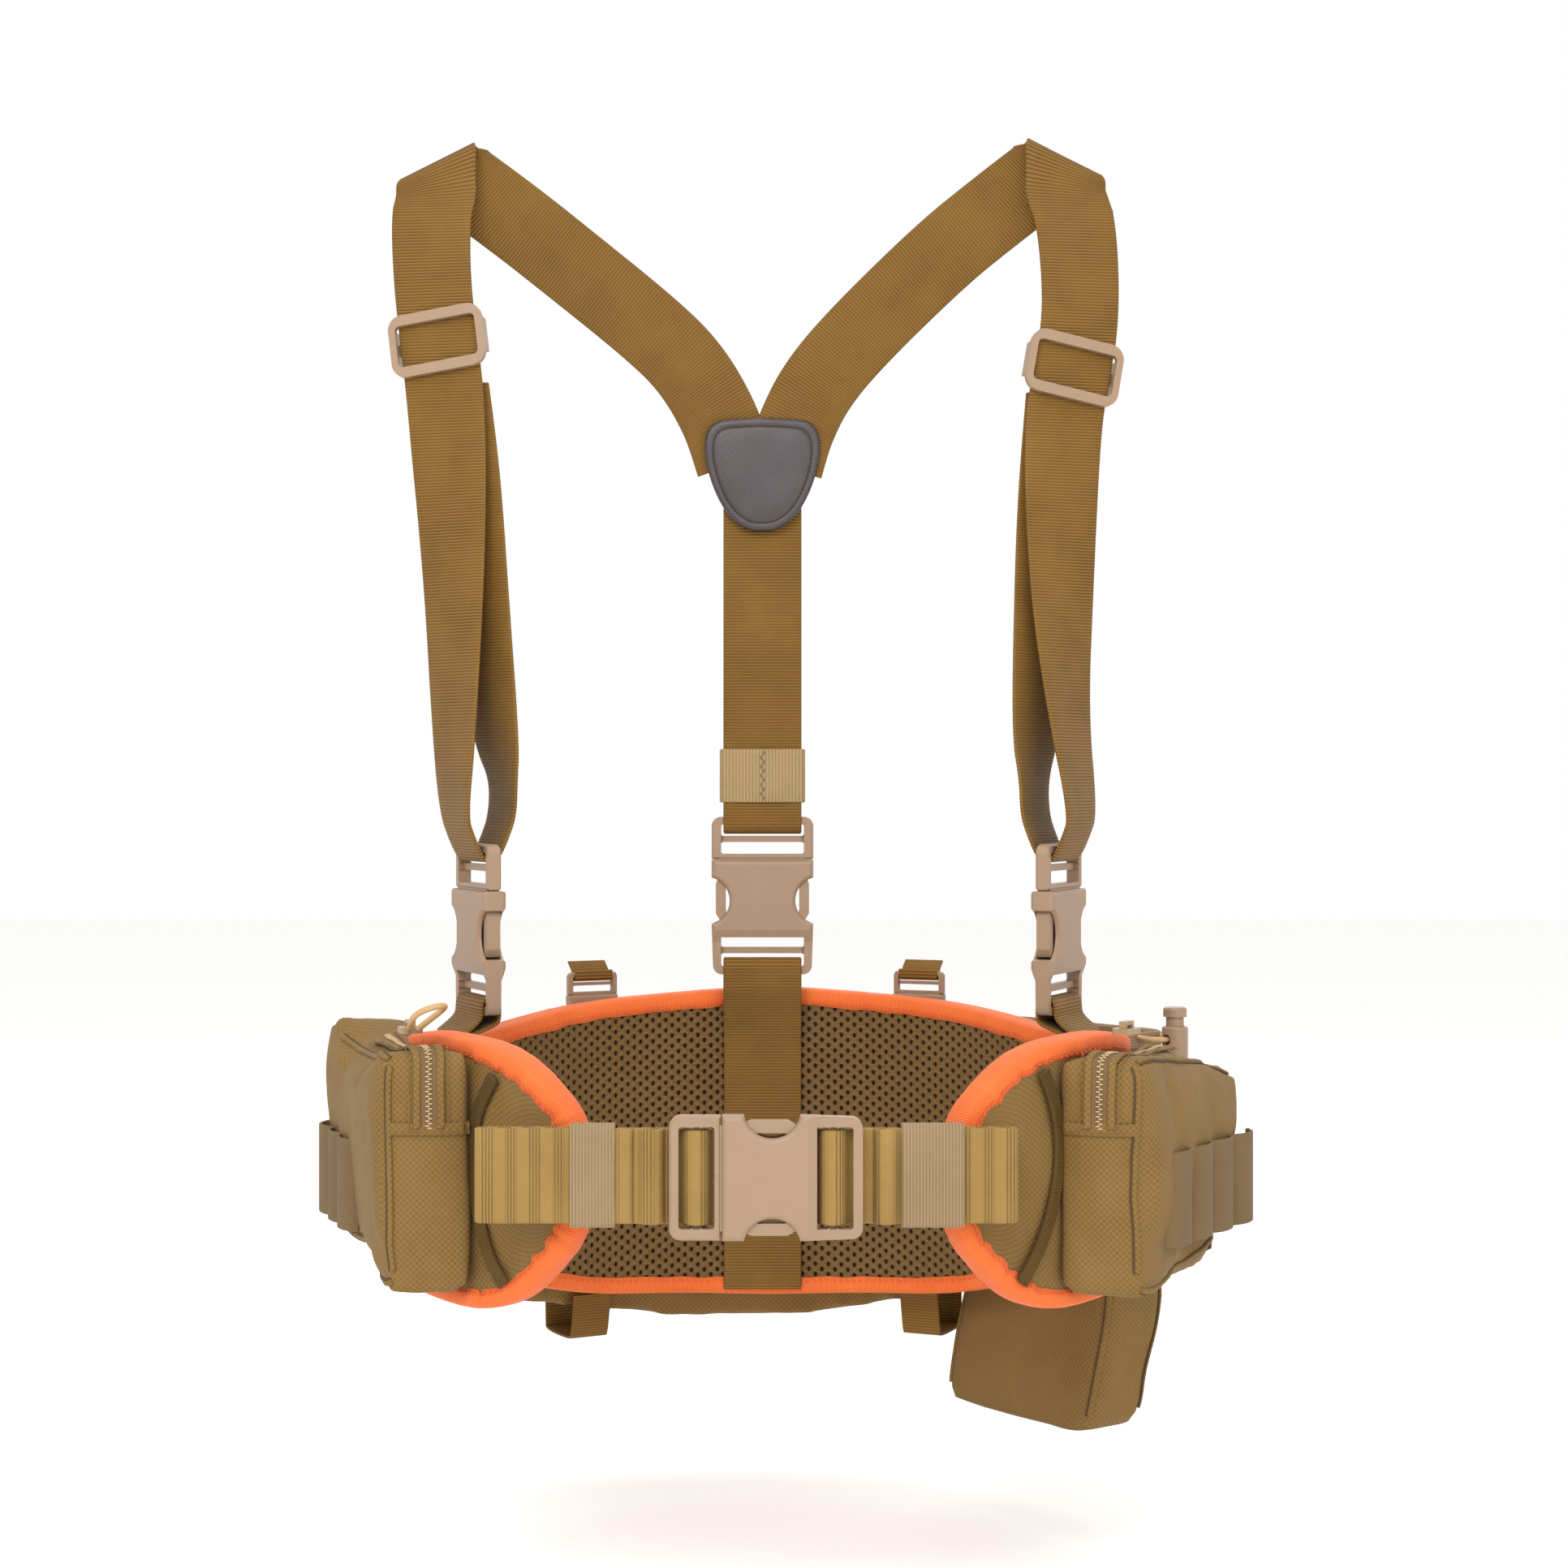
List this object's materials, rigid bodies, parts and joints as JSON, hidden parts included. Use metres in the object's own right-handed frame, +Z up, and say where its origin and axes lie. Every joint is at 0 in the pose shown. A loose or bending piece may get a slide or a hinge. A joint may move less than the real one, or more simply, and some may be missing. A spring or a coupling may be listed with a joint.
{
  "type": "field waist pack harness",
  "caption": "Padded field waist belt with zipped side and rear pouches, a hanging drawcord pouch and a Y-shaped webbing shoulder harness on side-release buckles.",
  "frame": {"origin": "centre of the ring that the belt makes, at the height of the middle of the front waist strap", "axes": "+Z up, -Y towards the wearer's front, where the waist buckle is, +X to the right seen from the front"},
  "size_m": [0.4201, 0.3321, 0.6053],
  "materials": {
    "canvas": "woven canvas",
    "spacer_mesh": "knitted spacer mesh",
    "foam": "closed-cell foam",
    "orange_binding": "grosgrain binding",
    "leather": "stitched leather",
    "waist_webbing": "ribbed webbing",
    "webbing": "ribbed webbing",
    "elastic": "woven elastic",
    "zip_tape": "zip tape and coil",
    "zip_metal": "painted zip slider",
    "cord": "braided cord",
    "spring_steel": "spring wire",
    "acetal": "moulded acetal"
  },
  "bodies": {
    "belt": {"belt_pad": "foam", "belt_shell": "canvas", "lumbar_mesh": "spacer_mesh", "belt_binding": "orange_binding", "lumbar_webbing": "webbing", "back_buckle_socket": "acetal", "side_loops": "webbing", "side_buckle_sockets": "acetal", "waist_webbing_right": "waist_webbing", "waist_buckle_socket": "acetal", "side_pouch_left": "canvas", "side_pouch_right": "canvas", "side_pouch_zips": "zip_tape", "shell_loops": "elastic", "rear_pouch": "canvas", "rear_pouch_zip": "zip_tape", "rear_buckle_sockets": "acetal", "rear_webbing": "webbing", "hanging_pouch": "canvas", "hanging_hem": "elastic", "drawcord": "cord", "cord_lock_body": "acetal", "cord_lock_spring": "spring_steel"},
    "waist_plug_side": {"waist_webbing_left": "waist_webbing", "waist_buckle_plug": "acetal"},
    "harness": {"back_strap": "webbing", "yoke_patch": "leather", "shoulder_strap_left": "webbing", "shoulder_strap_right": "webbing", "back_buckle_plug": "acetal", "side_buckle_plugs": "acetal"},
    "rear_plug_left": {"rear_buckle_plug_left": "acetal", "rear_strap_top_left": "webbing"},
    "rear_plug_right": {"rear_buckle_plug_right": "acetal", "rear_strap_top_right": "webbing"},
    "zip_slider_left": {"zip_slider_left": "zip_metal", "pull_cord_left": "cord"},
    "waist_prong_upper": {"waist_prong_upper": "acetal"},
    "waist_prong_lower": {"waist_prong_lower": "acetal"},
    "waist_keeper_left": {"waist_keeper_left": "elastic"},
    "waist_keeper_right": {"waist_keeper_right": "elastic"},
    "back_keeper": {"back_keeper": "elastic"},
    "strap_slider_left": {"strap_slider_left": "acetal"},
    "strap_slider_right": {"strap_slider_right": "acetal"},
    "back_prong_right": {"back_prong_right": "acetal"},
    "back_prong_left": {"back_prong_left": "acetal"},
    "left_prong_front": {"left_prong_front": "acetal"},
    "left_prong_rear": {"left_prong_rear": "acetal"},
    "right_prong_front": {"right_prong_front": "acetal"},
    "right_prong_rear": {"right_prong_rear": "acetal"},
    "rear_prong_left_outer": {"rear_prong_left_outer": "acetal"},
    "rear_prong_left_inner": {"rear_prong_left_inner": "acetal"},
    "rear_prong_right_outer": {"rear_prong_right_outer": "acetal"},
    "rear_prong_right_inner": {"rear_prong_right_inner": "acetal"},
    "zip_slider_right": {"zip_slider_right": "zip_metal"},
    "zip_slider_rear": {"zip_slider_rear": "zip_metal"},
    "cord_lock_plunger": {"cord_lock_plunger": "acetal"}
  },
  "joints": [
    {"name": "waist_buckle_release", "type": "slide", "parent": "belt", "child": "waist_plug_side", "axis": [-1, 0, 0], "range_m": [0, 0.04]},
    {"name": "waist_prong_upper_squeeze", "type": "hinge", "parent": "waist_plug_side", "child": "waist_prong_upper", "pos_m": [-0.013, -0.1373, 0.0182], "axis": [0, 1, 0], "range_deg": [0, 8], "stiffness_Nm_per_rad": 0.2},
    {"name": "waist_prong_lower_squeeze", "type": "hinge", "parent": "waist_plug_side", "child": "waist_prong_lower", "pos_m": [-0.013, -0.1373, -0.0182], "axis": [0, -1, 0], "range_deg": [0, 8], "stiffness_Nm_per_rad": 0.2},
    {"name": "waist_keeper_left_slide", "type": "slide", "parent": "waist_plug_side", "child": "waist_keeper_left", "axis": [-1, 0, 0], "range_m": [0, 0.015]},
    {"name": "waist_keeper_right_slide", "type": "slide", "parent": "belt", "child": "waist_keeper_right", "axis": [1, 0, 0], "range_m": [0, 0.012]},
    {"name": "harness_release", "type": "slide", "parent": "belt", "child": "harness", "axis": [0, 0, 1], "range_m": [0, 0.045]},
    {"name": "back_prong_right_squeeze", "type": "hinge", "parent": "harness", "child": "back_prong_right", "pos_m": [0.0147, 0.118, 0.1145], "axis": [0, 1, 0], "range_deg": [0, 8], "stiffness_Nm_per_rad": 0.2},
    {"name": "back_prong_left_squeeze", "type": "hinge", "parent": "harness", "child": "back_prong_left", "pos_m": [-0.0217, 0.118, 0.1145], "axis": [0, -1, 0], "range_deg": [0, 8], "stiffness_Nm_per_rad": 0.2},
    {"name": "left_prong_front_squeeze", "type": "hinge", "parent": "harness", "child": "left_prong_front", "pos_m": [-0.1246, 0.00837, 0.1035], "axis": [0.9135, 0.4067, 0], "range_deg": [0, 8], "stiffness_Nm_per_rad": 0.2},
    {"name": "left_prong_rear_squeeze", "type": "hinge", "parent": "harness", "child": "left_prong_rear", "pos_m": [-0.1394, 0.04163, 0.1035], "axis": [-0.9135, -0.4067, 0], "range_deg": [0, 8], "stiffness_Nm_per_rad": 0.2},
    {"name": "right_prong_rear_squeeze", "type": "hinge", "parent": "harness", "child": "right_prong_rear", "pos_m": [0.1394, 0.04163, 0.1035], "axis": [-0.9135, 0.4067, 0], "range_deg": [0, 8], "stiffness_Nm_per_rad": 0.2},
    {"name": "right_prong_front_squeeze", "type": "hinge", "parent": "harness", "child": "right_prong_front", "pos_m": [0.1246, 0.00837, 0.1035], "axis": [0.9135, -0.4067, 0], "range_deg": [0, 8], "stiffness_Nm_per_rad": 0.2},
    {"name": "back_keeper_slide", "type": "slide", "parent": "harness", "child": "back_keeper", "axis": [0, 0, 1], "range_m": [0, 0.02]},
    {"name": "strap_slider_left_slide", "type": "slide", "parent": "harness", "child": "strap_slider_left", "axis": [-0.1269, 0.1269, 0.9838], "range_m": [-0.008, 0.008]},
    {"name": "strap_slider_right_slide", "type": "slide", "parent": "harness", "child": "strap_slider_right", "axis": [0.1745, 0.1221, 0.9771], "range_m": [-0.008, 0.008]},
    {"name": "rear_buckle_left_release", "type": "slide", "parent": "belt", "child": "rear_plug_left", "axis": [0, 0, 1], "range_m": [0, 0.02]},
    {"name": "rear_prong_left_inner_squeeze", "type": "hinge", "parent": "rear_plug_left", "child": "rear_prong_left_inner", "pos_m": [-0.07857, 0.12685, 0.05063], "axis": [-0.4759, 0.8795, 0], "range_deg": [0, 8], "stiffness_Nm_per_rad": 0.05},
    {"name": "rear_prong_left_outer_squeeze", "type": "hinge", "parent": "rear_plug_left", "child": "rear_prong_left_outer", "pos_m": [-0.09542, 0.11773, 0.05063], "axis": [0.4759, -0.8795, 0], "range_deg": [0, 8], "stiffness_Nm_per_rad": 0.05},
    {"name": "rear_buckle_right_release", "type": "slide", "parent": "belt", "child": "rear_plug_right", "axis": [0, 0, 1], "range_m": [0, 0.02]},
    {"name": "rear_prong_right_outer_squeeze", "type": "hinge", "parent": "rear_plug_right", "child": "rear_prong_right_outer", "pos_m": [0.08231, 0.12502, 0.05063], "axis": [0.398, 0.9174, 0], "range_deg": [0, 8], "stiffness_Nm_per_rad": 0.05},
    {"name": "rear_prong_right_inner_squeeze", "type": "hinge", "parent": "rear_plug_right", "child": "rear_prong_right_inner", "pos_m": [0.06474, 0.13265, 0.05063], "axis": [-0.398, -0.9174, 0], "range_deg": [0, 8], "stiffness_Nm_per_rad": 0.05},
    {"name": "zip_slider_left_travel", "type": "slide", "parent": "belt", "child": "zip_slider_left", "axis": [-0.3206, 0.9472, 0], "range_m": [0, 0.085]},
    {"name": "zip_slider_right_travel", "type": "slide", "parent": "belt", "child": "zip_slider_right", "axis": [0.5023, 0.8647, 0], "range_m": [0, 0.07]},
    {"name": "zip_slider_rear_travel", "type": "slide", "parent": "belt", "child": "zip_slider_rear", "axis": [0.9919, 0.1271, 0], "range_m": [0, 0.03]},
    {"name": "cord_lock_press", "type": "slide", "parent": "belt", "child": "cord_lock_plunger", "axis": [0, 0, -1], "range_m": [0, 0.0025], "stiffness_N_per_m": 400, "deforming": ["cord_lock_spring"]}
  ],
  "couplings": [
    {"joint": "waist_prong_lower_squeeze", "follows": "waist_prong_upper_squeeze", "ratio": 1},
    {"joint": "back_prong_left_squeeze", "follows": "back_prong_right_squeeze", "ratio": 1},
    {"joint": "left_prong_rear_squeeze", "follows": "left_prong_front_squeeze", "ratio": 1},
    {"joint": "right_prong_front_squeeze", "follows": "right_prong_rear_squeeze", "ratio": 1},
    {"joint": "rear_prong_left_outer_squeeze", "follows": "rear_prong_left_inner_squeeze", "ratio": 1},
    {"joint": "rear_prong_right_inner_squeeze", "follows": "rear_prong_right_outer_squeeze", "ratio": 1}
  ]
}
